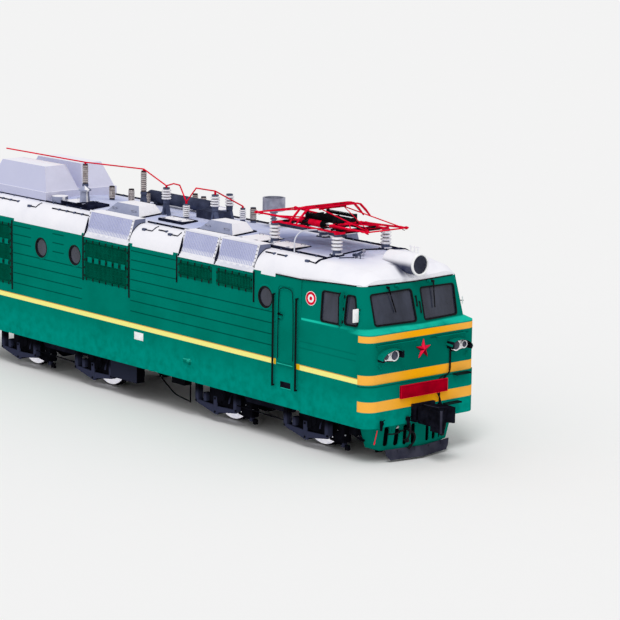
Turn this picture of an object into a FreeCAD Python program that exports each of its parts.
import FreeCAD, Part
import math
import os

V = FreeCAD.Vector
os.makedirs("parts", exist_ok=True)

# One cab-ended section of a two-section mainline electric locomotive.  Millimetres.
# +X points to the cab, +Y to the driver's left, +Z up.  The floor (Z = 0) is under the
# wheel flanges, and h(height) gives a height above the rail head.

# ---- driving dimensions -------------------------------------------------------------
FLANGE_DEPTH = 30
BODY_HALF_LENGTH = 7340          # middle to the flat of the front wall
NOSE = BODY_HALF_LENGTH            # the front's places are measured back from here
COUPLER_HALF_LENGTH = BODY_HALF_LENGTH + 870   # middle to a coupler's pulling face
BODY_HALF_WIDTH = 1580
SKIRT_BOTTOM = 820               # height above rail of the side wall's lower edge
EAVES = 3520                     # height above rail where the roof begins
CAB_EAVES = 3680
ROOF_CROWN = 4110
WALL = 60
ROOF_SKIN = 50
FLOOR_TOP = 1700
CAB_REAR = BODY_HALF_LENGTH - 2050   # joint between the side walls and the cab shell

PIVOT_X = 3750                   # bogie pivots from the middle
WHEELBASE = 3000
WHEEL_R = 625
WHEEL_BACK = 720                 # half of the back-to-back distance
TYRE_WIDTH = 140
COUPLER_AXIS = 1060

FIT = 0.3                        # running clearance of pins and journals, on radius
PANEL_GAP = 6                    # clearance round a moving door


def h(height):
    return FLANGE_DEPTH + height


# ---- small shape helpers ------------------------------------------------------------
def box(x0, x1, y0, y1, z0, z1):
    return Part.makeBox(x1 - x0, y1 - y0, z1 - z0, V(x0, y0, z0))


def rod(p0, p1, radius):
    p0, p1 = V(*p0), V(*p1)
    return Part.makeCylinder(radius, p0.distanceToPoint(p1), p0, p1 - p0)


def polygon(points):
    return Part.Face(Part.makePolygon([V(*p) for p in points] + [V(*points[0])]))


def plate_xz(points, y0, y1):
    return polygon([(x, y0, z) for x, z in points]).extrude(V(0, y1 - y0, 0))


def plate_yz(points, x0, x1):
    return polygon([(x0, y, z) for y, z in points]).extrude(V(x1 - x0, 0, 0))


def plate_xy(points, z0, z1):
    return polygon([(x, y, z0) for x, y in points]).extrude(V(0, 0, z1 - z0))


def fuse(shapes):
    shapes = list(shapes)
    whole = shapes[0].multiFuse(shapes[1:]) if len(shapes) > 1 else shapes[0]
    return whole.removeSplitter()


def mirrored(shape):
    return shape.mirror(V(0, 0, 0), V(0, 1, 0))


def both_sides(shapes):
    shapes = list(shapes)
    return shapes + [mirrored(s) for s in shapes]


def rounded(shape, radius, direction):
    """Round the edges that run along one axis: 0 for X, 1 for Y, 2 for Z."""
    edges = []
    for edge in shape.Edges:
        along = edge.Vertexes[-1].Point - edge.Vertexes[0].Point
        if along.Length > 0 and abs(abs(along[direction]) - along.Length) < 1e-6:
            edges.append(edge)
    return shape.makeFillet(radius, edges)


def turned_profile(points, centre, axis):
    """A solid of revolution: points are (radius, distance along the axis)."""
    across = V(1, 0, 0) if abs(axis[0]) < 0.5 else V(0, 0, 1)
    centre, axis = V(*centre), V(*axis)
    outline = [centre + across * r + axis * a for r, a in points]
    face = Part.Face(Part.makePolygon(outline + [outline[0]]))
    return face.revolve(centre, axis, 360)


def save(name, shapes):
    solids = []
    for shape in shapes if isinstance(shapes, (list, tuple)) else [shapes]:
        solids += shape.Solids
    whole = solids[0] if len(solids) == 1 else Part.makeCompound(solids)
    whole.exportStep("parts/%s.step" % name)
    volume = sum(s.Volume for s in solids)
    print("%-24s %3d solids %9.4f m3 valid %s" % (name, len(solids), volume / 1e9, whole.isValid()))


# ---- carbody: underframe and walls ----------------------------------------------------
INNER_Y = BODY_HALF_WIDTH - WALL
WALL_REAR = -BODY_HALF_LENGTH
DOOR_X = (NOSE - 2790, NOSE - 2260)
DOOR_Z = (1720, 3400)
DOOR_THICK = 45
STEP_POCKET = (NOSE - 2660, NOSE - 2360, 1230, 1340)
PORTHOLE_R = 225
PORTHOLES = [(4145, 3085), (-4000, 3065), (-2670, 3065)]
# side grilles: x0, x1, z0, z1 (heights above rail)
GRILLES = [(-6890, -5240, 2020, 3480), (-2300, -650, 2560, 3480),
           (1180, 2340, 3120, 3480), (2500, 3700, 3120, 3480)]
# pressed grooves: height above rail, spans x0 to x1
LONG_SPANS = [(-BODY_HALF_LENGTH, -6960), (-5150, -2400), (-560, 1090), (1090, NOSE - 2960)]
SHORT_SPANS = [(-5150, -4420), (-3560, -3110), (-540, 1090)]     # clear of portholes and grilles
GROOVES = [(2070, LONG_SPANS), (2310, LONG_SPANS), (2550, LONG_SPANS), (2790, LONG_SPANS),
           (3030, SHORT_SPANS), (3240, SHORT_SPANS), (3450, SHORT_SPANS)]
GROOVE_SIZE = (16, 6)            # height and depth
BOLSTER_BOTTOM = 1180
PIN_R = 140
CROSS_BOTTOM = 1280
# left edges: ends, beside the pivots where no wheel reaches, middle, and under the cab
CROSS_MEMBERS = (-BODY_HALF_LENGTH + WALL, -PIVOT_X - 970, -PIVOT_X + 810, 0, PIVOT_X - 970, PIVOT_X + 810,
                 NOSE - 1040, NOSE - 230)
DRAFT_SILL = (NOSE - 1040, 200, 930)     # inner end, half width, bottom
SILL_BOTTOM = SKIRT_BOTTOM + 80
POCKET = (300, 230, 110)         # coupler pocket: half width, below and above the axis


def underframe():
    parts = [box(WALL_REAR + WALL, BODY_HALF_LENGTH - WALL, -INNER_Y, INNER_Y, h(FLOOR_TOP - 60), h(FLOOR_TOP))]
    for side in (-1, 1):
        y0, y1 = sorted((side * (INNER_Y - 130), side * INNER_Y))
        parts.append(box(WALL_REAR + WALL, CAB_REAR, y0, y1, h(SILL_BOTTOM), h(FLOOR_TOP - 60)))
    for x in CROSS_MEMBERS:
        parts.append(box(x, x + 160, -INNER_Y, INNER_Y, h(CROSS_BOTTOM), h(FLOOR_TOP - 60)))
    for side in (-1, 1):
        x0, x1 = sorted((side * DRAFT_SILL[0], side * (BODY_HALF_LENGTH - WALL)))
        parts.append(box(x0, x1, -DRAFT_SILL[1], DRAFT_SILL[1], h(DRAFT_SILL[2]), h(FLOOR_TOP - 60)))
    for x in (-PIVOT_X, PIVOT_X):
        parts.append(box(x - 280, x + 280, -INNER_Y, INNER_Y, h(BOLSTER_BOTTOM), h(FLOOR_TOP - 60)))
        parts.append(rod((x, 0, h(760)), (x, 0, h(BOLSTER_BOTTOM)), PIN_R))
    return fuse(parts)


def window_cut_y(x0, x1, z0, z1, radius, y0, y1):
    return rounded(box(x0, x1, y0, y1, h(z0), h(z1)), radius, 1)


def side_wall():
    """The right-hand wall (negative Y) from the rear wall to the cab shell."""
    wall = box(WALL_REAR, CAB_REAR, -BODY_HALF_WIDTH, -INNER_Y, h(SKIRT_BOTTOM), h(EAVES))
    cuts = [window_cut_y(DOOR_X[0], DOOR_X[1], DOOR_Z[0], DOOR_Z[1], 90, -BODY_HALF_WIDTH - 10, -INNER_Y + 10)]
    x0, x1, z0, z1 = STEP_POCKET
    cuts.append(box(x0, x1, -BODY_HALF_WIDTH - 10, -INNER_Y + 10, h(z0), h(z1)))
    for x, z in PORTHOLES:
        cuts.append(rod((x, -BODY_HALF_WIDTH - 10, h(z)), (x, -INNER_Y + 10, h(z)), PORTHOLE_R))
    for x0, x1, z0, z1 in GRILLES:
        cuts.append(box(x0, x1, -BODY_HALF_WIDTH - 10, -INNER_Y + 10, h(z0), h(z1)))
    tall, deep = GROOVE_SIZE
    for z, spans in GROOVES:
        for g0, g1 in spans:
            cuts.append(box(g0, g1, -BODY_HALF_WIDTH - 10, -BODY_HALF_WIDTH + deep, h(z), h(z) + tall))
    return wall.cut(Part.makeCompound(cuts))


def side_grilles():
    """Framed grille plates that fill the wall openings, with a field set back 30 mm."""
    plates = []
    for x0, x1, z0, z1 in GRILLES:
        frame = box(x0, x1, -BODY_HALF_WIDTH - 8, -BODY_HALF_WIDTH + 40, h(z0), h(z1))
        field = box(x0 + 45, x1 - 45, -BODY_HALF_WIDTH - 9, -BODY_HALF_WIDTH + 22, h(z0) + 45, h(z1) - 45)
        plates.append(frame.cut(field))
    return both_sides(plates)


GANGWAY_HALF = 400
GANGWAY_TOP = 3650
REAR_DOOR_HALF = 350
REAR_DOOR_Z = (1720, 3560)


def rear_wall():
    outline = [(-BODY_HALF_WIDTH, h(SKIRT_BOTTOM)), (BODY_HALF_WIDTH, h(SKIRT_BOTTOM)),
               (BODY_HALF_WIDTH, h(EAVES)), (-BODY_HALF_WIDTH, h(EAVES))]
    wall = plate_yz([(y * INNER_Y / BODY_HALF_WIDTH, z) for y, z in outline], WALL_REAR, WALL_REAR + WALL)
    head = roof_section(WALL_REAR, WALL_REAR + WALL, ROOF_SKIN)
    wall = fuse([wall, head])
    wall = wall.cut(window_box_x(WALL_REAR - 10, WALL_REAR + WALL + 10, REAR_DOOR_HALF, REAR_DOOR_Z))
    half, below, above = POCKET
    return wall.cut(box(WALL_REAR - 10, WALL_REAR + WALL + 10, -half, half,
                        h(SKIRT_BOTTOM - 10), h(COUPLER_AXIS + above)))


def window_box_x(x0, x1, half, heights):
    return rounded(box(x0, x1, -half, half, h(heights[0]), h(heights[1])), 80, 0)


# ---- roof ---------------------------------------------------------------------------
SHOULDER = (BODY_HALF_WIDTH - 350, 4022)
SHOULDER_MID = (BODY_HALF_WIDTH - 97, 3827)


def roof_wire(x, half_width, edge, mid, shoulder, crown, inset=0):
    """Roof cross-section: flat bottom, an arc up each side and a shallow ridge."""
    w = half_width - inset
    mid_y, mid_z = mid[0] - 0.8 * inset, mid[1] - 0.6 * inset
    sh_y, sh_z = shoulder[0] - 0.4 * inset, shoulder[1] - inset
    top = V(x, 0, h(crown - inset))
    right = Part.Arc(V(x, -w, h(edge)), V(x, -mid_y, h(mid_z)), V(x, -sh_y, h(sh_z))).toShape()
    left = Part.Arc(V(x, sh_y, h(sh_z)), V(x, mid_y, h(mid_z)), V(x, w, h(edge))).toShape()
    return Part.Wire([right,
                      Part.makeLine(V(x, -sh_y, h(sh_z)), top),
                      Part.makeLine(top, V(x, sh_y, h(sh_z))),
                      left,
                      Part.makeLine(V(x, w, h(edge)), V(x, -w, h(edge)))])


def roof_section(x0, x1, inset=0):
    wire = roof_wire(x0, BODY_HALF_WIDTH, EAVES, SHOULDER_MID, SHOULDER, ROOF_CROWN, inset)
    return Part.Face(wire).extrude(V(x1 - x0, 0, 0))


ROOF_SOLID = roof_section(WALL_REAR, CAB_REAR)
# shoulder louvre boxes: x0, x1
SHOULDER_BOXES = [(-2300, -650), (1180, 2400), (2440, 3720)]
# outline of a box's end: y, z above rail
BOX_OUTLINE = [(1586, 3560), (1400, 4135), (1090, 4135), (1090, 3900), (1420, 3560)]


def shoulder_boxes():
    boxes = []
    for x0, x1 in SHOULDER_BOXES:
        boxes.append(plate_yz([(-y, h(z)) for y, z in BOX_OUTLINE], x0, x1))
    return both_sides(boxes)


def main_roof(boxes):
    shell = ROOF_SOLID.cut(roof_section(WALL_REAR - 10, CAB_REAR + 10, ROOF_SKIN))
    return shell.cut(Part.makeCompound(boxes))


# cab shell levels: z, rear y, side end x, side end y, corner x, corner y, nose x
CAB_LEVELS = [(2740, BODY_HALF_WIDTH,
               NOSE - 260, BODY_HALF_WIDTH, NOSE, BODY_HALF_WIDTH - 260, NOSE),
              (2810, BODY_HALF_WIDTH,
               NOSE - 440, BODY_HALF_WIDTH - 90, NOSE - 210, BODY_HALF_WIDTH - 325, NOSE - 55),
              (3680, BODY_HALF_WIDTH - 24,
               NOSE - 600, BODY_HALF_WIDTH - 195, NOSE - 405, BODY_HALF_WIDTH - 400, NOSE - 300)]
APRON_TOP = 1690
APRON_PROUD = 35
CAB_SKIRT = 780


def cab_wire(z, rear_y, side_x, side_y, corner_x, corner_y, nose_x, inset=0):
    """Plan outline of the cab at one height, closed across its open rear."""
    s_y, c_x, n_x, r_y = side_y - inset, corner_x - inset, nose_x - inset, rear_y - inset
    bulge = 0.7071 * min(corner_x - side_x, side_y - corner_y)
    m_x = side_x + bulge * (corner_x - side_x) / min(corner_x - side_x, side_y - corner_y) - 0.7 * inset
    m_y = corner_y + bulge * (side_y - corner_y) / min(corner_x - side_x, side_y - corner_y) - 0.7 * inset
    right = Part.Arc(V(side_x, -s_y, z), V(m_x, -m_y, z), V(c_x, -corner_y, z)).toShape()
    left = Part.Arc(V(c_x, corner_y, z), V(m_x, m_y, z), V(side_x, s_y, z)).toShape()
    return Part.Wire([Part.makeLine(V(CAB_REAR, -r_y, z), V(side_x, -s_y, z)),
                      right,
                      Part.makeLine(V(c_x, -corner_y, z), V(n_x, 0, z)),
                      Part.makeLine(V(n_x, 0, z), V(c_x, corner_y, z)),
                      left,
                      Part.makeLine(V(side_x, s_y, z), V(CAB_REAR, r_y, z)),
                      Part.makeLine(V(CAB_REAR, r_y, z), V(CAB_REAR, -r_y, z))])


def cab_solid(inset=0, bottom=CAB_SKIRT):
    lower, shoulder, top = CAB_LEVELS
    parts = [Part.Face(cab_wire(h(bottom), *lower[1:], inset=inset)).extrude(V(0, 0, lower[0] - bottom))]
    for a, b in ((lower, shoulder), (shoulder, top)):
        parts.append(Part.makeLoft([cab_wire(h(a[0]), *a[1:], inset=inset),
                                    cab_wire(h(b[0]), *b[1:], inset=inset)], True, True))
    if inset == 0:
        z, r_y, s_x, s_y, c_x, c_y, n_x = lower
        proud = (r_y, s_x, s_y, c_x + APRON_PROUD, c_y, n_x + APRON_PROUD)
        parts.append(Part.Face(cab_wire(h(bottom), *proud)).extrude(V(0, 0, APRON_TOP - bottom)))
    return parts[0].multiFuse(parts[1:])


# windscreen corners as (half y, z) and cab side windows as (x, z), heights above rail
SCREEN = [(100, 2862), (1185, 2850), (1205, 3512), (112, 3545)]
SIDE_WINDOWS = [[(NOSE - 1480, 2816), (NOSE - 910, 2816), (NOSE - 910, 3480), (NOSE - 1480, 3480)],
                [(NOSE - 800, 2850), (NOSE - 380, 2850), (NOSE - 540, 3480), (NOSE - 800, 3480)]]
WINDOW_ROUND = 70


def screen_prism(side):
    points = [(side * y, h(z)) for y, z in SCREEN]
    return rounded_prism(plate_yz(points, NOSE - 640, NOSE + 260), 0)


def rounded_prism(prism, direction):
    return rounded(prism, WINDOW_ROUND, direction)


def side_window_prism(points, side):
    y0, y1 = sorted((side * (BODY_HALF_WIDTH - 380), side * (BODY_HALF_WIDTH + 120)))
    return rounded_prism(plate_xz([(x, h(z)) for x, z in points], y0, y1), 1)


def window_prisms():
    prisms = []
    for side in (-1, 1):
        prisms.append(screen_prism(side))
        for points in SIDE_WINDOWS:
            prisms.append(side_window_prism(points, side))
    return prisms


def cab_shell(prisms):
    shell = cab_solid().cut(cab_solid(WALL, bottom=CAB_SKIRT - 10))
    half, below, above = POCKET
    coupler_gap = box(NOSE - 340, NOSE + 360, -half, half, h(CAB_SKIRT - 20), h(COUPLER_AXIS + above))
    for cut in [coupler_gap] + prisms:
        shell = shell.cut(cut)
    return shell


def cab_glass(prisms):
    """Panes 12 mm thick, set 18 mm behind the outer skin of the cab."""
    layer = cab_solid(18.0, bottom=FLOOR_TOP).cut(cab_solid(30.0, bottom=FLOOR_TOP - 10))
    panes = []
    for prism in prisms:
        panes += prism.common(layer).Solids
    return panes


# cab roof sections: x, half width, edge, mid y, mid z, shoulder y, shoulder z, crown
CAB_ROOF = [(CAB_REAR, BODY_HALF_WIDTH - 24, 3680,
             BODY_HALF_WIDTH - 130, 3870, BODY_HALF_WIDTH - 350, 4022, 4110),
            (NOSE - 1240, BODY_HALF_WIDTH - 80, 3680,
             BODY_HALF_WIDTH - 220, 3860, BODY_HALF_WIDTH - 480, 3995, 4095),
            (NOSE - 600, BODY_HALF_WIDTH - 160, 3680,
             BODY_HALF_WIDTH - 350, 3830, BODY_HALF_WIDTH - 700, 3925, 4015),
            (NOSE - 260, BODY_HALF_WIDTH - 250, 3670,
             BODY_HALF_WIDTH - 580, 3690, BODY_HALF_WIDTH - 880, 3700, 3712)]


def cab_roof_solid(inset=0):
    dome = []
    for a, b in zip(CAB_ROOF, CAB_ROOF[1:]):
        wires = [roof_wire(s[0], s[1], s[2] - 60, (s[3], s[4]), (s[5], s[6]), s[7], inset) for s in (a, b)]
        dome.append(Part.makeLoft(wires, True, True))
    whole = dome[0].multiFuse(dome[1:])
    top = CAB_LEVELS[2]
    outline = Part.Face(cab_wire(h(CAB_EAVES), *top[1:], inset=inset)).extrude(V(0, 0, 600))
    return whole.common(outline)


HEADLIGHT = (NOSE - 140, 0, 4040)      # centre of the rim
HEADLIGHT_R = 230


def headlight_tube():
    x, y, z = HEADLIGHT
    return rod((NOSE - 1040, y, h(z) - 25), (x, y, h(z)), HEADLIGHT_R)


def headlight_parts(cab_roof_filled):
    x, y, z = HEADLIGHT
    casing = headlight_tube().cut(cab_roof_filled)
    casing = casing.cut(rod((x - 90, y, h(z)), (x + 20, y, h(z)), HEADLIGHT_R - 25))
    casing = max(casing.Solids, key=lambda s: s.Volume)
    lens = rod((x - 90, y, h(z)), (x - 15, y, h(z)), HEADLIGHT_R - 25)
    return casing, lens


# ---- inside the cab ---------------------------------------------------------------
BULKHEADS = (NOSE - 2990, NOSE - 2140)
BULKHEAD_THICK = 50
PASSAGE = (-330, 330)


def bulkheads():
    walls = []
    for x in BULKHEADS:
        wall = roof_section(x, x + BULKHEAD_THICK, ROOF_SKIN)
        wall = fuse([wall, box(x, x + BULKHEAD_THICK, -INNER_Y, INNER_Y, h(FLOOR_TOP), h(EAVES))])
        passage = box(x - 1, x + BULKHEAD_THICK + 1, PASSAGE[0], PASSAGE[1], h(FLOOR_TOP), h(3600))
        walls.append(wall.cut(passage))
    return walls


def cab_desk():
    outline = [(NOSE - 790, h(FLOOR_TOP)), (NOSE - 190, h(FLOOR_TOP)), (NOSE - 190, h(2620)),
               (NOSE - 390, h(2720)),
               (NOSE - 520, h(2700)), (NOSE - 740, h(2480)), (NOSE - 790, h(2480))]
    return plate_xz(outline, -1250, 1250)


def cab_seats():
    seats = []
    for y in (-800, 800):
        post = rod((NOSE - 1340, y, h(FLOOR_TOP)), (NOSE - 1340, y, h(2130)), 60)
        cushion = box(NOSE - 1560, NOSE - 1100, y - 240, y + 240, h(2130), h(2230))
        outline = [(NOSE - 1560, h(2230)), (NOSE - 1470, h(2230)),
                   (NOSE - 1540, h(2860)), (NOSE - 1630, h(2860))]
        back = plate_xz(outline, y - 230, y + 230)
        seats.append(fuse([post, cushion, back]))
    return seats


def machine_blocks():
    """Transformer, rectifiers and blowers stand as plain blocks of their real bulk."""
    return [box(-1100, 1100, -700, 700, h(FLOOR_TOP), h(3300)),
            box(-6500, -5200, -650, 650, h(FLOOR_TOP), h(3100)),
            box(2400, 3700, -600, 600, h(FLOOR_TOP), h(3000))]


# ---- doors ------------------------------------------------------------------------
def gangway():
    """Rubber-faced gangway frame round the rear door."""
    outer = window_box_x(WALL_REAR - 420, WALL_REAR, GANGWAY_HALF + 130, (1500, GANGWAY_TOP + 120))
    inner = window_box_x(WALL_REAR - 430, WALL_REAR + 10, GANGWAY_HALF + 20, (1640, GANGWAY_TOP))
    return outer.cut(inner)


# hinge axes: the barrels sit just inside the wall, on the door's hinged edge
HINGE_BARREL_R = 12
HINGE_PIN_R = 8
HINGE_HALF = 50
FREE_EDGE_GAP = 10
CAB_HINGE = (DOOR_X[1] - PANEL_GAP, -INNER_Y + HINGE_BARREL_R)
REAR_HINGE = (WALL_REAR + WALL + HINGE_BARREL_R, REAR_DOOR_HALF - PANEL_GAP)
HINGE_HEIGHTS = (2050, 3150)


def hinge_barrel(x, y, z):
    barrel = rod((x, y, h(z) - HINGE_HALF), (x, y, h(z) + HINGE_HALF), HINGE_BARREL_R)
    return barrel, rod((x, y, h(z) - HINGE_HALF), (x, y, h(z) + HINGE_HALF), HINGE_PIN_R + FIT)


def hinge_pin(x, y, z, lug_box):
    """The pin with a lug above and below the barrel; lug_box is x0, x1, y0, y1."""
    pin = rod((x, y, h(z) - HINGE_HALF - 12), (x, y, h(z) + HINGE_HALF + 12), HINGE_PIN_R)
    lugs = [box(*lug_box, h(z) + s * (HINGE_HALF + 2) - (10 if s < 0 else 0),
                h(z) + s * (HINGE_HALF + 2) + (10 if s > 0 else 0)) for s in (-1, 1)]
    return fuse([pin] + lugs)


def door_with_hinges(slab, hinge, strap_box):
    barrels, bores = [], []
    for z in HINGE_HEIGHTS:
        barrel, bore = hinge_barrel(hinge[0], hinge[1], z)
        strap = box(*strap_box, h(z) - HINGE_HALF, h(z) + HINGE_HALF)
        barrels += [barrel, strap]
        bores.append(bore)
    return fuse([slab] + barrels).cut(Part.makeCompound(bores))


def cab_door_leaf():
    x, y = CAB_HINGE
    inner_face = -BODY_HALF_WIDTH + 6 + DOOR_THICK
    slab = box(DOOR_X[0] + FREE_EDGE_GAP, x, inner_face - DOOR_THICK, inner_face,
               h(DOOR_Z[0]) + PANEL_GAP, h(DOOR_Z[1]) - PANEL_GAP)
    slab = rounded(slab, 84, 1)
    handle = box(DOOR_X[0] + 50, DOOR_X[0] + 150, inner_face - DOOR_THICK - 30, inner_face - DOOR_THICK,
                 h(2700), h(2760))
    return door_with_hinges(fuse([slab, handle]), CAB_HINGE, (x - 60, x - 4, inner_face, y))


def gangway_door_leaf():
    x, y = REAR_HINGE
    inner_face = WALL_REAR + 8 + DOOR_THICK
    slab = box(inner_face - DOOR_THICK, inner_face, -REAR_DOOR_HALF + FREE_EDGE_GAP, y,
               h(REAR_DOOR_Z[0]) + PANEL_GAP, h(REAR_DOOR_Z[1]) - PANEL_GAP)
    slab = rounded(slab, 74, 0)
    handle = box(inner_face - DOOR_THICK - 28, inner_face - DOOR_THICK, -280, -180, h(2700), h(2740))
    return door_with_hinges(fuse([slab, handle]), REAR_HINGE, (inner_face, x, y - 60, y - 4))


def door_hinges():
    pins = []
    for z in HINGE_HEIGHTS:
        x, y = CAB_HINGE
        pins += both_sides([hinge_pin(x, y, z, (x - 10, x + 46, -INNER_Y, y + 12))])
        x, y = REAR_HINGE
        pins.append(hinge_pin(x, y, z, (WALL_REAR + WALL, x + 12, y - 10, y + 46)))
    return pins


# ---- front end --------------------------------------------------------------------
FRONT_X = BODY_HALF_LENGTH
APRON_X = BODY_HALF_LENGTH + APRON_PROUD
LAMP_Z = 2272
LAMPS = [(885, 105, 75), (1118, 75, 85)]     # |y|, radius, length forward
STAR_Z = 2290
STAR_R = 215
PLATE = (670, 1325, 1600)                     # half width, z0, z1
CORNER_HANDRAILS = [(-1320, -220), (370, 1170)]
HANDRAIL_Z = 2510


def marker_lamps():
    lamps = []
    for y, radius, length in LAMPS:
        body = rod((FRONT_X, -y, h(LAMP_Z)), (FRONT_X + length, -y, h(LAMP_Z)), radius)
        recess = rod((FRONT_X + length - 22, -y, h(LAMP_Z)), (FRONT_X + length + 5, -y, h(LAMP_Z)), radius - 16)
        lens = rod((FRONT_X + length - 22, -y, h(LAMP_Z)), (FRONT_X + length - 6, -y, h(LAMP_Z)), radius - 16)
        lamps.append(body.cut(recess).fuse(lens).removeSplitter())
    return both_sides(lamps)


def star():
    points = []
    for i in range(10):
        r = STAR_R if i % 2 == 0 else STAR_R * 0.382
        a = math.radians(90 + 36 * i)
        points.append((r * math.cos(a), h(STAR_Z) + r * math.sin(a)))
    return plate_yz(points, FRONT_X, FRONT_X + 30)


def number_plate():
    half, z0, z1 = PLATE
    return box(APRON_X, APRON_X + 45, -half, half, h(z0), h(z1))


def bent_bar(points, radius):
    """Round bar through straight runs, with a ball at each bend."""
    runs = [rod(a, b, radius) for a, b in zip(points, points[1:])]
    bends = [Part.makeSphere(radius, V(*p)) for p in points[1:-1]]
    return fuse(runs + bends)


SIDE_HANDRAILS = (NOSE - 2890, NOSE - 2150)
SIDE_HANDRAIL_Z = (1240, 3200)
# a handrail's distance from the wall and its radius
CORNER_BAR = (60, 14)
SIDE_BAR = (60, 16)
STEPS = [(850, 1280, 1640), (580, 1020, 1040)]      # y0, y1, height above rail
STEP_DEPTH = 130
STEP_THICK = 30


def handrails():
    bars = []
    for y0, y1 in CORNER_HANDRAILS:
        z = h(HANDRAIL_Z)
        out = FRONT_X + CORNER_BAR[0]
        path = [(FRONT_X, y0, z), (out, y0, z), (out, y1, z), (FRONT_X, y1, z)]
        bars.append(bent_bar(path, CORNER_BAR[1]))
    z0, z1 = SIDE_HANDRAIL_Z
    for x in SIDE_HANDRAILS:
        y = -BODY_HALF_WIDTH
        out = y - SIDE_BAR[0]
        path = [(x, y, h(z0)), (x, out, h(z0)), (x, out, h(z1)), (x, y, h(z1))]
        bars += both_sides([bent_bar(path, SIDE_BAR[1])])
    return bars


def front_steps():
    """Treads on the apron, on the driver's left only."""
    x = APRON_X
    return [box(x, x + STEP_DEPTH, y0, y1, h(z), h(z) + STEP_THICK) for y0, y1, z in STEPS]


# wind deflectors and mirrors by the cab side windows
DEFLECTOR_X = NOSE - 855
MIRROR = (NOSE - 440, 90, 280)                      # x, half width across the view, height
MIRROR_Z = 2985
MIRROR_POST_X = NOSE - 370
MIRROR_REACH = 235               # the plate's outer edge from the cab's side


def cab_side_y(x, z):
    """Half width of the cab's outer skin at a place between its shoulder and its roof."""
    lower, upper = CAB_LEVELS[1], CAB_LEVELS[2]
    f = (z - lower[0]) / (upper[0] - lower[0])
    y0 = lower[1] + (lower[3] - lower[1]) * (x - CAB_REAR) / (lower[2] - CAB_REAR)
    y1 = upper[1] + (upper[3] - upper[1]) * (x - CAB_REAR) / (upper[2] - CAB_REAR)
    return y0 + (y1 - y0) * f


def deflectors_and_mirrors(shell):
    pieces = []
    z0, z1 = 2820, 3520
    y = cab_side_y(DEFLECTOR_X, z0)
    fin = box(DEFLECTOR_X - 6, DEFLECTOR_X + 6, -y - 90, -y + 100, h(z0), h(z1)).cut(shell)
    fin = [s for s in fin.Solids if s.CenterOfMass.y < -y + 10]
    pieces += both_sides(fin)
    x, half, height = MIRROR
    outer = -cab_side_y(x + 60, MIRROR_Z + height) - MIRROR_REACH
    plate = box(x, x + 16, outer, outer + 2 * half, h(MIRROR_Z), h(MIRROR_Z) + height)
    arm_y, arm_z = outer + half, h(MIRROR_Z) + height / 2
    arm = rod((x + 16, arm_y, arm_z), (MIRROR_POST_X, arm_y, arm_z), 10)
    foot = rod((MIRROR_POST_X, arm_y - 8, arm_z), (MIRROR_POST_X, arm_y + 300, arm_z), 10).cut(cab_solid())
    foot = min(foot.Solids, key=lambda s: s.CenterOfMass.y)
    pieces += both_sides([fuse([plate, arm, foot])])
    return pieces


# plough: plan outline at its top and bottom, x and half y, heights above rail
PLOUGH_TOP = [(NOSE - 640, 1180), (NOSE - 280, 1180), (NOSE - 50, 700), (NOSE - 10, 0)]
PLOUGH_BOTTOM = [(NOSE - 640, 990), (NOSE - 250, 960), (NOSE - 80, 500), (NOSE - 10, 0)]
PLOUGH_Z = (215, 780)
PLOUGH_THICK = 22
PLOUGH_SLOTS = (205, 415, 625, 840)
SLOT_HALF = 52
SLOT_Z = (300, 735)
BRACE_Y = 735
BLADE_TOP = [(NOSE - 125, 925), (NOSE + 85, 0)]
BLADE_Z = (80, 250)


def full_outline(half, thick):
    """Closed plan outline of a bent plate from its front edge points (x, y >= 0)."""
    front = [(x, -y) for x, y in half] + [(x, y) for x, y in reversed(half) if y > 0]
    back = [(x - thick, y * 0.985) for x, y in reversed(front)]
    return front + back


def plough():
    wires = []
    for half, z in ((PLOUGH_TOP, PLOUGH_Z[1]), (PLOUGH_BOTTOM, PLOUGH_Z[0])):
        points = [V(x, y, h(z)) for x, y in full_outline(half, PLOUGH_THICK)]
        wires.append(Part.makePolygon(points + [points[0]]))
    plate = Part.makeLoft(wires, True, True)
    cuts = []
    for y in PLOUGH_SLOTS:
        for side in (-1, 1):
            middle = side * y
            slot = box(NOSE - 340, NOSE + 60, middle - SLOT_HALF, middle + SLOT_HALF, h(SLOT_Z[0]), h(SLOT_Z[1]))
            cuts.append(rounded(slot, SLOT_HALF - 2, 0))
    plate = plate.cut(Part.makeCompound(cuts))
    brace = [(NOSE - 780, h(CROSS_BOTTOM)), (NOSE - 85, h(CROSS_BOTTOM)),
             (NOSE - 85, h(640)), (NOSE - 190, h(640))]
    braces = [plate_xz(brace, side * BRACE_Y - 15, side * BRACE_Y + 15) for side in (-1, 1)]
    return fuse([plate] + braces)


def plough_blade():
    (x1, y1), (x0, _) = BLADE_TOP
    outline = [(x0, 0), (x1, -y1), (x1 - 30, -y1), (x0 - 30, 0), (x1 - 30, y1), (x1, y1)]
    blade = plate_xy(outline, h(BLADE_Z[0]), h(BLADE_Z[1]))
    brackets = []
    for y in (-520, 0, 520):
        front = NOSE + 60 - abs(y) * 0.23
        arm = box(NOSE - 140, front, y - 30, y + 30, h(BLADE_Z[1] - 28), h(BLADE_Z[1] - 4)).cut(plough())
        brackets.append(max(arm.Solids, key=lambda piece: piece.BoundBox.XMax))
    return fuse([blade] + brackets)


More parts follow.
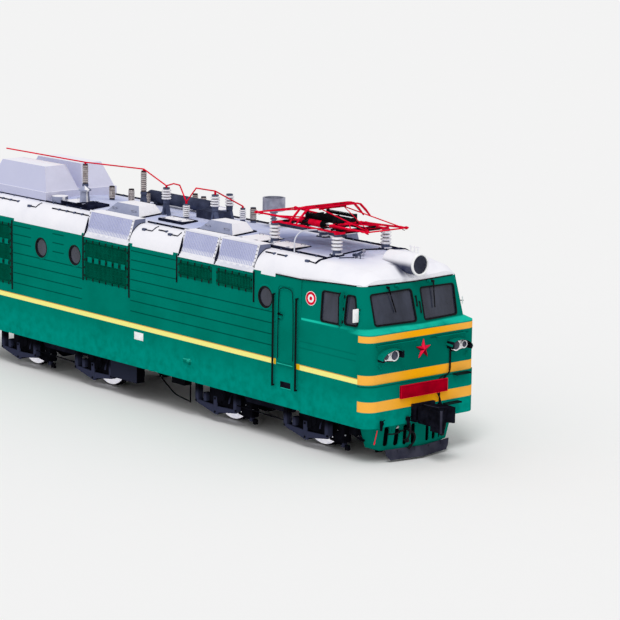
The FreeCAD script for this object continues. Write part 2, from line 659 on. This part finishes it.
def coupler():
    """Automatic coupler at the front: pocket, shank and a head with its large tooth."""
    z = h(COUPLER_AXIS)
    half, below, above = POCKET
    x0 = BODY_HALF_LENGTH - WALL
    pocket = box(x0, x0 + 160, -half, half, z - below, z + above)
    pocket = pocket.cut(box(x0 - 10, x0 + 170, -150, 150, z - 130, z + 65))
    shank = box(x0, COUPLER_HALF_LENGTH - 410, -90, 90, z - 110, z + 60)
    f = COUPLER_HALF_LENGTH
    head = plate_xy([(f - 590, -110), (f - 560, -235), (f - 20, -250), (f, -200), (f - 90, -60), (f - 150, 40),
                     (f - 10, 110), (f - 30, 160), (f - 330, 190), (f - 470, 110)], z - 210, z + 120)
    return [pocket, fuse([shank, head])]


def coupler_rear():
    turned = []
    for piece in coupler():
        copy = piece.copy()
        copy.rotate(V(0, 0, 0), V(0, 0, 1), 180)
        turned.append(copy)
    return turned


# air brake hoses hang from their cocks to rest hooks on the plough: y
HOSES = (-450, 560)
HOSE_R = 22
HOSE_TOP = (NOSE + 80, 845)           # x, height above rail
HOSE_END = (NOSE + 55, 440)
HOSE_BULGE = 75


def brake_hoses():
    pieces = []
    (x0, z0), (x1, z1) = HOSE_TOP, HOSE_END
    for y in HOSES:
        cock = box(APRON_X, x0 + 30, y - 32, y + 32, h(z0), h(z0) + 80)
        start, end = V(x0, y, h(z0)), V(x1, y, h(z1))
        middle = V((x0 + x1) / 2 + HOSE_BULGE, y, h((z0 + z1) / 2))
        bend = Part.Arc(start, middle, end).toShape()
        ring = Part.Wire(Part.Circle(start, bend.tangentAt(bend.FirstParameter), HOSE_R).toShape())
        hose = Part.Wire(bend).makePipeShell([ring], True, False)
        head = rod((x1, y - 30, h(z1) - 25), (x1, y + 30, h(z1) - 25), 42)
        hook = box(NOSE - 140, x1, y - 8, y + 8, h(z1) - 40, h(z1) - 10).cut(plough())
        hook = max(hook.Solids, key=lambda piece: piece.BoundBox.XMax)
        pieces.append(fuse([cock, hose, head, hook]))
    return pieces


# ---- roof equipment ---------------------------------------------------------------
def insulator(x, y, z0, z1, r_shed, sheds, r_core):
    """Ribbed post: sheds are spread over the height, with a cap at each end."""
    cap = min(40, (z1 - z0) * 0.12)
    pitch = (z1 - z0 - 2 * cap) / sheds
    points = [(0, 0), (r_core * 1.15, 0), (r_core * 1.15, cap)]
    for i in range(sheds):
        low = cap + i * pitch
        points += [(r_core, low + pitch * 0.1), (r_shed, low + pitch * 0.42),
                   (r_shed, low + pitch * 0.58), (r_core, low + pitch * 0.9)]
    points += [(r_core * 1.15, z1 - z0 - cap), (r_core * 1.15, z1 - z0), (0, z1 - z0)]
    return turned_profile(points, (x, y, h(z0)), (0, 0, 1))


# white posts: x, y, foot z, top z, shed radius, sheds
WHITE_POSTS = [(-970, -240, 4430, 4730, 95, 4), (620, -100, 4440, 4740, 95, 4), (390, 510, 4380, 4680, 90, 4),
               (-200, -270, 4125, 4450, 75, 5), (790, 570, 4110, 4400, 75, 5)]
# brown posts, same columns
BROWN_POSTS = [(-4000, -300, 4480, 4950, 60, 6), (-2130, 0, 4480, 4970, 60, 6), (-2950, 270, 4120, 4430, 75, 5),
               (-2600, 470, 4110, 4380, 75, 5), (-1460, 1000, 4090, 4430, 70, 5),
               (-1150, 1000, 4090, 4400, 70, 5),
               (860, 820, 4100, 4400, 75, 5), (-3600, 190, 4120, 4430, 75, 5)]
# braced stands under the tall posts: x, y, top z, foot half width
STANDS = [(-970, -240, 4430, 150), (620, -100, 4440, 150), (390, 510, 4380, 150), (-4000, -300, 4480, 75),
          (-2130, 0, 4480, 130)]
STAND_TOP_R = 75
ROOF_INSIDE = 4020               # a height just under the roof's skin, for feet that follow it


def roof_post(row, roof, slim):
    """A post; one that stands on the roof has a round foot that follows the roof's slope."""
    x, y, z0, z1, r, sheds = row
    post = insulator(x, y, z0, z1, r, sheds, r * slim)
    if z0 > 4200:
        return post
    foot = rod((x, y, h(ROOF_INSIDE)), (x, y, h(z0)), r * slim * 1.15).cut(roof)
    tops = [piece for piece in foot.Solids if piece.BoundBox.ZMax > h(z0) - 1]
    return fuse([post] + tops)


def stand(x, y, top, foot_half):
    low = h(ROOF_INSIDE)
    legs = []
    for s in (-1, 1):
        outline = [(x + s * foot_half, low), (x + s * (foot_half - 70), low),
                   (x - s * 35, h(top)), (x + s * 35, h(top))]
        legs.append(plate_xz(outline, y - 40, y + 40))
    head = rod((x, y, h(top) - 60), (x, y, h(top)), STAND_TOP_R)
    return fuse(legs + [head])


# red busbar on the posts, in straight runs: x, y, z above rail
BUSBAR = [(-7250, -300, 4990), (-4000, -300, 4990), (-2130, 0, 5010), (-970, -240, 4770), (-700, -245, 4850),
          (-470, -250, 4840), (-200, -270, 4490), (50, -190, 4830), (620, -100, 4820), (790, 570, 4440)]
BUSBAR_R = 16
BUSBAR_CLAMPS = [(1, 4950), (2, 4970), (3, 4730), (6, 4450), (8, 4740), (9, 4400)]


def busbar():
    points = [(x, y, h(z)) for x, y, z in BUSBAR]
    clamps = []
    for i, top in BUSBAR_CLAMPS:
        x, y, z = points[i]
        clamps.append(rod((x, y, h(top)), (x, y, z), 26))
    return fuse([bent_bar(points, BUSBAR_R)] + clamps)


# white hatches on the roof: x0, x1, y0, y1 at the foot, top height above rail
RAISED_HATCHES = [(-2450, -1130, -900, -180, 4290), (900, 2150, -850, -180, 4290)]
FLAT_HATCHES = [(3530, 4290, -1020, -480, 4100), (-620, 200, -700, -360, 4125),
                (-4090, -3150, -900, -420, 4125),
                (2450, 3200, -1000, -300, 4105)]


def raised_hatch(x0, x1, y0, y1, top):
    low = h(4040)
    slope = 260
    base = Part.makePolygon([V(x0, y0, low), V(x1, y0, low), V(x1, y1, low), V(x0, y1, low), V(x0, y0, low)])
    x2, x3, y2, y3 = x0 + slope, x1 - slope, y0 + 190, y1 - 60
    lid = Part.makePolygon([V(x2, y2, h(top)), V(x3, y2, h(top)), V(x3, y3, h(top)), V(x2, y3, h(top)),
                            V(x2, y2, h(top))])
    return Part.makeLoft([base, lid], True, True)


def roof_hatches():
    hatches = [raised_hatch(*row) for row in RAISED_HATCHES]
    hatches += [box(x0, x1, y0, y1, h(ROOF_INSIDE), h(top)) for x0, x1, y0, y1, top in FLAT_HATCHES]
    lid = rod((-4330, -800, h(ROOF_INSIDE)), (-4330, -800, h(4190)), 190)
    hatches.append(lid)
    return hatches


def roof_vents():
    """White mushroom vent and a tapered cylinder on the dark plate."""
    mushroom = turned_profile([(0, 0), (120, 0), (100, 250), (150, 270), (150, 300), (0, 390)],
                              (-3560, -640, h(4125)), (0, 0, 1))
    return [mushroom]


TANK = (-2800, -500, 740, 4250, 140)      # x0, x1, y, axis height, radius
CONTROL_BOX = (-250, 560, 60, 400, 4290)


def roof_switchgear():
    """Dark main switch tank on saddles and a control box, on the far side of the roof."""
    x0, x1, y, z, r = TANK
    tank = [rod((x0, y, h(z)), (x1, y, h(z)), r)]
    tank += [box(x - 60, x + 60, y - 110, y + 110, h(ROOF_INSIDE), h(z)) for x in (x0 + 300, x1 - 300)]
    x0, x1, y0, y1, top = CONTROL_BOX
    return [fuse(tank), box(x0, x1, y0, y1, h(ROOF_INSIDE), h(top))]


# two louvred housings at the rear of the roof
HOUSING_X = (-6950, -4600)
HOUSING_BASE = (60, 1010)
HOUSING_TOP = (220, 830)
HOUSING_Z = (4260, 4830)
HOUSING_SLOPE = 300


def roof_housings():
    x0, x1 = HOUSING_X
    housings = []
    (b0, b1), (t0, t1), (z0, z1) = HOUSING_BASE, HOUSING_TOP, HOUSING_Z
    base = Part.makePolygon([V(x0, -b0, h(z0)), V(x1, -b0, h(z0)), V(x1, -b1, h(z0)), V(x0, -b1, h(z0)),
                             V(x0, -b0, h(z0))])
    x2, x3 = x0 + HOUSING_SLOPE, x1 - HOUSING_SLOPE
    top = Part.makePolygon([V(x2, -t0, h(z1)), V(x3, -t0, h(z1)), V(x3, -t1, h(z1)), V(x2, -t1, h(z1)),
                            V(x2, -t0, h(z1))])
    upper = Part.makeLoft([base, top], True, True)
    sill = box(x0 - 40, x1 + 40, -b1 - 40, -b0 + 40, h(4030), h(z0))
    housings.append(fuse([upper, sill]))
    return both_sides(housings)


COIL = (1670, 740)
COIL_Z = (4440, 4730)
COIL_R = 255


def choke_coil(roof):
    x, y = COIL
    z0, z1 = COIL_Z
    drum = rod((x, y, h(z0)), (x, y, h(z1)), COIL_R)
    drum = drum.cut(rod((x, y, h(z0) + 30), (x, y, h(z1) + 5), COIL_R - 40))
    post = roof_post((x, y, 4110, z0 - 60, 80, 3), roof, 0.6)
    neck = rod((x, y, h(z0 - 60)), (x, y, h(z0)), 90)
    return fuse([drum, neck, post])


# ---- pantograph -------------------------------------------------------------------
PAN_X = 4390
PAN_SHAFT = 500                  # half distance between the two main shafts
PAN_LOWER = 1280                 # main shaft to knee
PAN_KNEE_RISE = 30               # rest height of a knee over its main shaft
PAN_APEX = 70                    # half distance between the upper frames' top pivots
PAN_UPPER_RISE = 270             # knee to top pivot at rest
PAN_SHAFT_Z = 4600
PAN_FEET_X = (3390, 5400)
PAN_FEET_Y = 700
PAN_FEET_TOP = 4500
PAN_ARM_Y = (430, 560)           # arm plane at the main shaft and at the knee
SHAFT_R = 24
KNEE_R = 16
APEX_R = 14


def pan_insulators(roof):
    posts = []
    for x in PAN_FEET_X:
        post = insulator(x, -PAN_FEET_Y, 4150, PAN_FEET_TOP, 100, 4, 52)
        foot = box(x - 110, x + 110, -PAN_FEET_Y - 80, -PAN_FEET_Y + 80, h(4000), h(4150)).cut(roof)
        foot = max(foot.Solids, key=lambda s: s.CenterOfMass.z)
        posts.append(fuse([post, foot]))
    return both_sides(posts)


def pan_base():
    """Base frame: two long beams, cross beams and the shaft bearings."""
    z0, z1 = h(PAN_FEET_TOP), h(PAN_FEET_TOP) + 40
    x0, x1 = PAN_FEET_X
    parts = []
    for x in PAN_FEET_X:
        parts.append(box(x - 30, x + 30, -PAN_FEET_Y - 60, PAN_FEET_Y + 60, z0, z1))
    for y in (-300, 300):
        parts.append(box(x0, x1, y - 25, y + 25, z0, z1))
    bores = []
    for side in (-1, 1):
        x = PAN_X + side * PAN_SHAFT
        for y in (-300, 300):
            parts.append(box(x - 45, x + 45, y - 25, y + 25, z1, h(PAN_SHAFT_Z) + 40))
        bores.append(rod((x, -400, h(PAN_SHAFT_Z)), (x, 400, h(PAN_SHAFT_Z)), SHAFT_R + FIT))
    return fuse(parts).cut(Part.makeCompound(bores))


def knee(side):
    """Knee axis of the frame on one side: +1 front, -1 rear."""
    run = math.sqrt(PAN_LOWER ** 2 - PAN_KNEE_RISE ** 2)
    return PAN_X + side * (PAN_SHAFT + run), h(PAN_SHAFT_Z) + PAN_KNEE_RISE


def pan_lower(side):
    """Main shaft with two tapering arms that end in the knee forks."""
    x0, z0 = PAN_X + side * PAN_SHAFT, h(PAN_SHAFT_Z)
    x1, z1 = knee(side)
    y0, y1 = PAN_ARM_Y
    parts = [rod((x0, -y0 - 25, z0), (x0, y0 + 25, z0), SHAFT_R)]
    for s in (-1, 1):
        parts.append(rod((x0, s * y0, z0), (x1 - side * 50, s * y1, z1), 20))
        eye = rod((x1, s * (y1 - 18), z1), (x1, s * (y1 + 18), z1), 34)
        parts.append(eye)
        parts.append(rod((x1 - side * 60, s * y1, z1), (x1 - side * 20, s * y1, z1), 16))
    whole = fuse(parts)
    return whole.cut(rod((x1, -y1 - 40, z1), (x1, y1 + 40, z1), KNEE_R + FIT))


def apex(side):
    x1, z1 = knee(side)
    return PAN_X + side * PAN_APEX, z1 + PAN_UPPER_RISE


def pan_upper(side):
    """Upper frame: knee shaft, two long tubes, one diagonal and the top shaft."""
    x1, z1 = knee(side)
    x2, z2 = apex(side)
    y1 = PAN_ARM_Y[1]
    parts = [rod((x1, -y1 - 60, z1), (x1, y1 + 60, z1), KNEE_R)]
    y_top, y_end = (330, 376) if side > 0 else (300, 320)
    parts.append(rod((x2, -y_end, z2), (x2, y_end, z2), APEX_R))
    for s in (-1, 1):
        parts.append(rod((x1, s * (y1 - 70), z1), (x2, s * y_top, z2), 13))
    parts.append(rod((x1, -(y1 - 75), z1), (x2, y_top - 5, z2), 9))
    return fuse(parts)


HEAD_BARS = (-110, 110)          # strips, from the pantograph's middle
HEAD_FLAT = 690
HEAD_TIP = (1070, -320)          # horn tip: half y, height from the strip
HEAD_TOP = 4965                  # top of the strips above rail, lowered


def pan_head():
    """Collector head: two strips with drooping horns on a carrier over the front top shaft."""
    x2, z2 = apex(1)
    z = h(HEAD_TOP) - 15
    parts = []
    for dx in HEAD_BARS:
        x = PAN_X + dx
        horn = [(x, -HEAD_TIP[0], z + HEAD_TIP[1]), (x, -HEAD_FLAT - 60, z - 30), (x, -HEAD_FLAT + 60, z),
                (x, HEAD_FLAT - 60, z), (x, HEAD_FLAT + 60, z - 30), (x, HEAD_TIP[0], z + HEAD_TIP[1])]
        parts.append(bent_bar(horn, 15))
    bores = []
    for s in (-1, 1):
        y = s * 362
        parts.append(box(PAN_X + HEAD_BARS[0], PAN_X + HEAD_BARS[1], y - 10, y + 10, z - 30, z))
        parts.append(plate_xz([(x2 - 30, z - 10), (x2 + 30, z - 10), (x2 + 22, z2 - 22), (x2 - 22, z2 - 22)],
                              y - 10, y + 10))
    bores.append(rod((x2, -400, z2), (x2, 400, z2), APEX_R + FIT))
    return fuse(parts).cut(Part.makeCompound(bores))


# ---- bogies -----------------------------------------------------------------------
AXLE_Z = FLANGE_DEPTH + WHEEL_R
AXLE_R = 90
JOURNAL_R = 70
JOURNAL_END = 1330
SPRING_Y = (1180, 1330)
FRAME_Y = (960, 1150)
SPRING_HALF = 700
BRACKET_TOP = 880


def wheel(side):
    back, face = WHEEL_BACK, WHEEL_BACK + TYRE_WIDTH
    tyre = [(WHEEL_R - 90, back), (WHEEL_R + FLANGE_DEPTH, back), (WHEEL_R + FLANGE_DEPTH, back + 22),
            (WHEEL_R, back + 42), (WHEEL_R, face), (WHEEL_R - 90, face)]
    hub = [(AXLE_R, back - 20), (150, back - 20), (150, face + 20), (AXLE_R, face + 20)]
    web = [(130, back + 35), (WHEEL_R - 70, back + 50), (WHEEL_R - 70, back + 90), (130, back + 100)]
    rings = [turned_profile(p, (0, 0, AXLE_Z), (0, side, 0)) for p in (tyre, hub, web)]
    return fuse(rings)


def wheelset(x):
    axle = rod((x, -950, AXLE_Z), (x, 950, AXLE_Z), AXLE_R)
    journals = rod((x, -JOURNAL_END + 60, AXLE_Z), (x, JOURNAL_END - 60, AXLE_Z), JOURNAL_R)
    wheels = [wheel(side).translated(V(x, 0, 0)) for side in (-1, 1)]
    return fuse([axle, journals] + wheels)


def bogie_frame(xb):
    """Two cranked side beams, cross beams and the centre socket."""
    y0, y1 = FRAME_Y
    low, top, bridge = h(560), h(1040), h(850)
    half = 2250
    side = [(xb - half, bridge), (xb - 950, bridge), (xb - 700, low), (xb + 700, low), (xb + 950, bridge),
            (xb + half, bridge), (xb + half, top), (xb - half, top)]
    parts = both_sides([plate_xz(side, -y1, -y0)])
    for x in (xb - half, xb + half - 120):
        parts.append(box(x, x + 120, -y0, y0, h(860), h(1020)))
    parts.append(box(xb - 300, xb + 300, -y0, y0, h(640), h(1030)))
    pads = both_sides([rod((xb, -y0 - 95, h(1040)), (xb, -y0 - 95, h(BOLSTER_BOTTOM)), 90)])
    frame = fuse(parts)
    return frame.cut(rod((xb, 0, h(750)), (xb, 0, h(1100)), PIN_R + FIT)), pads


def axle_springs(xb):
    """Axle boxes with their under-slung leaf springs, buckles and hangers."""
    parts = []
    y0, y1 = SPRING_Y
    for x in (xb - WHEELBASE / 2, xb + WHEELBASE / 2):
        block = box(x - 180, x + 180, -y1 - 40, -960, AXLE_Z - 190, AXLE_Z + 165)
        block = block.cut(rod((x, -JOURNAL_END, AXLE_Z), (x, -940, AXLE_Z), JOURNAL_R + FIT))
        leaf = [(x - SPRING_HALF, h(390)), (x - SPRING_HALF, h(365)), (x - 110, h(215)), (x + 110, h(215)),
                (x + SPRING_HALF, h(365)), (x + SPRING_HALF, h(390)), (x, h(345))]
        spring = plate_xz(leaf, -y1, -y0)
        buckle = box(x - 60, x + 60, -y1 - 15, -y0 + 15, h(170), AXLE_Z - 190)
        ends = (x - SPRING_HALF + 40, x + SPRING_HALF - 40)
        y_mid = -(y0 + y1) / 2
        hangers = [rod((end, y_mid, h(380)), (end, y_mid, h(800)), 25) for end in ends]
        brackets = [box(end - 50, end + 50, y_mid - 50, -FRAME_Y[1], h(800), h(BRACKET_TOP)) for end in ends]
        parts.append(fuse([block, spring, buckle] + hangers + brackets))
    return both_sides(parts)


MOTOR_R = 420
MOTOR_HALF = 540


def traction_motors(xb):
    motors = []
    for side in (-1, 1):
        x_axle = xb + side * WHEELBASE / 2
        x = x_axle - side * 660
        z = h(660)
        barrel = rod((x, -MOTOR_HALF, z), (x, MOTOR_HALF, z), MOTOR_R)
        nose = box(min(x - side * 540, x), max(x - side * 540, x), -220, 220, h(760), h(960))
        gears = []
        for s in (-1, 1):
            y0, y1 = sorted((s * (MOTOR_HALF + 1), s * 690))
            gears.append(rod((x_axle, y0, AXLE_Z), (x_axle, y1, AXLE_Z), 380))
            gears.append(rod((x, s * MOTOR_HALF, z), (x, y1 if s > 0 else y0, z), 150))
        tunnel = box(min(x, x_axle), max(x, x_axle), -500, 500, AXLE_Z - 170, AXLE_Z + 170)
        whole = fuse([barrel, nose, tunnel] + gears)
        motors.append(whole.cut(rod((x_axle, -900, AXLE_Z), (x_axle, 900, AXLE_Z), AXLE_R + FIT)))
    return motors


SHOE_GAP = 8


def brake_gear(xb, frame):
    """Brake blocks on both sides of each wheel, their hangers and the low pull rods."""
    parts = []
    y0, y1 = WHEEL_BACK + 45, WHEEL_BACK + TYRE_WIDTH
    for x in (xb - WHEELBASE / 2, xb + WHEELBASE / 2):
        for side in (-1, 1):
            x0, x1 = sorted((x + side * (WHEEL_R - 20), x + side * (WHEEL_R + 60)))
            block = box(x0, x1, -y1, -y0, AXLE_Z - 190, AXLE_Z + 170)
            block = block.cut(rod((x, -y1 - 5, AXLE_Z), (x, -y0 + 5, AXLE_Z), WHEEL_R + SHOE_GAP))
            hanger_x = x + side * (WHEEL_R + 45)
            hanger = rod((hanger_x, -y1 - 20, AXLE_Z), (hanger_x, -y1 - 20, h(900)), 18)
            pin = rod((hanger_x, -y1 - 30, AXLE_Z), (hanger_x, -y0, AXLE_Z), 18)
            seat = rod((hanger_x, -y1 + 20, h(900)), (hanger_x, -FRAME_Y[0] - 8, h(900)), 18)
            parts.append(fuse([block, hanger, pin, seat]).cut(frame))
    return both_sides(parts)


# ---- cables and pipes -------------------------------------------------------------
def bent_pipe(points, radius, bend):
    """Round pipe whose corners are arcs of one bend radius."""
    points = [V(*p) for p in points]
    edges, last = [], points[0]
    for a, b, c in zip(points, points[1:], points[2:]):
        to_a, to_c = (a - b).normalize(), (c - b).normalize()
        half = to_a.getAngle(to_c) / 2
        start, end = b + to_a * (bend / math.tan(half)), b + to_c * (bend / math.tan(half))
        inward = (to_a + to_c).normalize()
        middle = b + inward * (bend / math.sin(half) - bend)
        edges += [Part.makeLine(last, start), Part.Arc(start, middle, end).toShape()]
        last = end
    edges.append(Part.makeLine(last, points[-1]))
    ring = Part.Wire(Part.Circle(points[0], points[1] - points[0], radius).toShape())
    return Part.Wire(edges).makePipeShell([ring], True, False)


LAMP_CABLE_R = 11
LAMP_CABLE_Y = 800
PLATE_CABLE_Y = (575, 470)       # where the cable goes in over the plate and out below it
SOCKET_Z = (1020, 1090)
CONDUIT = [(4500, -1100, 3990), (4500, -1100, 4500), (4820, -325, 4520)]
CONDUIT_R = 15
CONDUIT_BEND = 260
HOSE_HANGER_X = 1410
LONG_HOSE_Y = -(BODY_HALF_WIDTH - 175)
LONG_HOSE = [(150, SILL_BOTTOM), (330, 690), (860, 375), (HOSE_HANGER_X, 300)]
LONG_HOSE_R = 14
LONG_HOSE_BEND = 700


def free_end(pipe, pieces):
    """The pipe trimmed to the faces it ends on: its longest stretch outside the pieces."""
    for piece in pieces:
        pipe = max(pipe.cut(piece).Solids, key=lambda solid: solid.Volume)
    return pipe


def cables(lamps, roof, base, plate, frame):
    """Lamp cable down the front, conduit to the pantograph and the long hose below the sill."""
    y_in, y_out = PLATE_CABLE_Y
    x0, x1 = FRONT_X + LAMP_CABLE_R + 1, APRON_X + LAMP_CABLE_R + 1
    drop = bent_pipe([(x0, LAMP_CABLE_Y, h(LAMP_Z)), (x0, LAMP_CABLE_Y, h(APRON_TOP) + 100),
                      (x1 + 4, LAMP_CABLE_Y - 60, h(APRON_TOP) + 30), (x1, y_in, h(PLATE[2]))],
                     LAMP_CABLE_R, 30)
    drop = free_end(drop, lamps + [plate])
    lower = rod((x1, y_out, h(SOCKET_Z[1])), (x1, y_out, h(PLATE[1])), LAMP_CABLE_R)
    socket = box(APRON_X, APRON_X + 55, y_out - 38, y_out + 38, h(SOCKET_Z[0]), h(SOCKET_Z[1]))
    conduit = bent_pipe([(x, y, h(z)) for x, y, z in CONDUIT], CONDUIT_R, CONDUIT_BEND)
    conduit = free_end(conduit, [roof, base])
    hose = bent_pipe([(x, LONG_HOSE_Y, h(z)) for x, z in LONG_HOSE], LONG_HOSE_R, LONG_HOSE_BEND)
    hose = free_end(hose, [frame])
    hanger = box(HOSE_HANGER_X, HOSE_HANGER_X + 12, LONG_HOSE_Y - 20, LONG_HOSE_Y + 10, h(280), h(SILL_BOTTOM))
    return [drop, fuse([lower, socket]), conduit, fuse([hose, hanger])]


# ---- underbody ----------------------------------------------------------------------
# slung boxes: x0, x1, side, y from the body's side (outer, inner), bottom above rail
SLUNG_BOXES = [(-1470, -490, -1, 130, 360, 390), (800, 1260, -1, 130, 330, 640), (-1000, 400, 1, 140, 580, 400)]


def slung_boxes():
    boxes = []
    for x0, x1, side, outer, inner, bottom in SLUNG_BOXES:
        y0, y1 = sorted((side * (BODY_HALF_WIDTH - outer), side * (BODY_HALF_WIDTH - inner)))
        boxes.append(box(x0, x1, y0, y1, h(bottom), h(SILL_BOTTOM)))
    return boxes


def air_reservoirs():
    tanks = []
    for y in (-500, 500):
        tank = rod((-900, y, h(860)), (900, y, h(860)), 230)
        straps = [box(x - 30, x + 30, y - 240, y + 240, h(860), h(FLOOR_TOP - 60)) for x in (-500, 480)]
        tanks.append(fuse([tank] + straps))
    return tanks


# ---- export ---------------------------------------------------------------------------
def main():
    prisms = window_prisms()
    shell = cab_shell(prisms)
    roof_filled = cab_roof_solid()
    boxes = shoulder_boxes()
    deck = underframe().cut(cab_solid().cut(cab_solid(WALL, bottom=CAB_SKIRT - 10)))
    deck = max(deck.Solids, key=lambda s: s.Volume)
    save("underframe", deck)
    wall = side_wall()
    save("side_wall_right", wall)
    save("side_wall_left", mirrored(wall))
    save("side_grilles", side_grilles())
    save("rear_wall", rear_wall())
    save("gangway_bellows", gangway())
    save("main_roof", main_roof(boxes))
    save("shoulder_louvres", boxes)
    save("cab_shell", shell)
    save("cab_roof", roof_filled.cut(cab_roof_solid(ROOF_SKIN)))
    casing, lens = headlight_parts(roof_filled)
    save("headlight", casing)
    save("bulkheads", bulkheads())
    save("cab_desk", cab_desk())
    save("cab_seats", cab_seats())
    save("machine_blocks", machine_blocks())
    door = cab_door_leaf()
    save("cab_door_right", door)
    save("cab_door_left", mirrored(door))
    save("gangway_door", gangway_door_leaf())
    save("door_hinges", door_hinges())
    glass = [rod((x, -BODY_HALF_WIDTH + 20, h(z)), (x, -BODY_HALF_WIDTH + 32, h(z)), PORTHOLE_R)
             for x, z in PORTHOLES]
    save("glazing", cab_glass(prisms) + both_sides(glass) + [lens])
    lamps = marker_lamps()
    save("marker_lamps", lamps)
    plate = number_plate()
    save("front_badges", [star(), plate])
    save("handrails", handrails() + front_steps())
    save("mirrors", deflectors_and_mirrors(shell))
    save("plough", plough())
    save("plough_blade", plough_blade())
    save("couplers", coupler() + coupler_rear())
    save("brake_hoses", brake_hoses())

    on_roof = [ROOF_SOLID, roof_filled]
    roof = Part.makeCompound(on_roof)
    save("roof_housings", [s.cut(roof) for s in roof_housings()])
    save("roof_hatches", [s.cut(roof) for s in roof_hatches()] + roof_vents())
    save("roof_switchgear", [s.cut(roof) for s in roof_switchgear()])
    white = [roof_post(row, roof, 0.55) for row in WHITE_POSTS]
    save("white_insulators", white + pan_insulators(roof))
    save("brown_insulators", [roof_post(row, roof, 0.75) for row in BROWN_POSTS])
    save("post_stands", [stand(*row).cut(roof) for row in STANDS])
    save("busbar", busbar())
    save("choke_coil", choke_coil(roof))
    base = pan_base()
    save("pantograph_base", base)
    save("cables", cables(lamps, roof, base, plate, deck))
    for name, side in (("front", 1), ("rear", -1)):
        save("pantograph_lower_%s" % name, pan_lower(side))
        save("pantograph_upper_%s" % name, pan_upper(side))
    save("pantograph_head", pan_head())

    for name, xb in (("front", PIVOT_X), ("rear", -PIVOT_X)):
        frame, pads = bogie_frame(xb)
        save("bogie_frame_%s" % name, [frame] + pads)
        save("axle_springs_%s" % name, axle_springs(xb))
        save("traction_motors_%s" % name, traction_motors(xb))
        save("brake_gear_%s" % name, brake_gear(xb, frame))
    for i, x in enumerate((PIVOT_X + 1500, PIVOT_X - 1500, -PIVOT_X + 1500, -PIVOT_X - 1500)):
        save("wheelset_%d" % (i + 1), wheelset(x))
    save("underbody_equipment", slung_boxes() + air_reservoirs())


main()
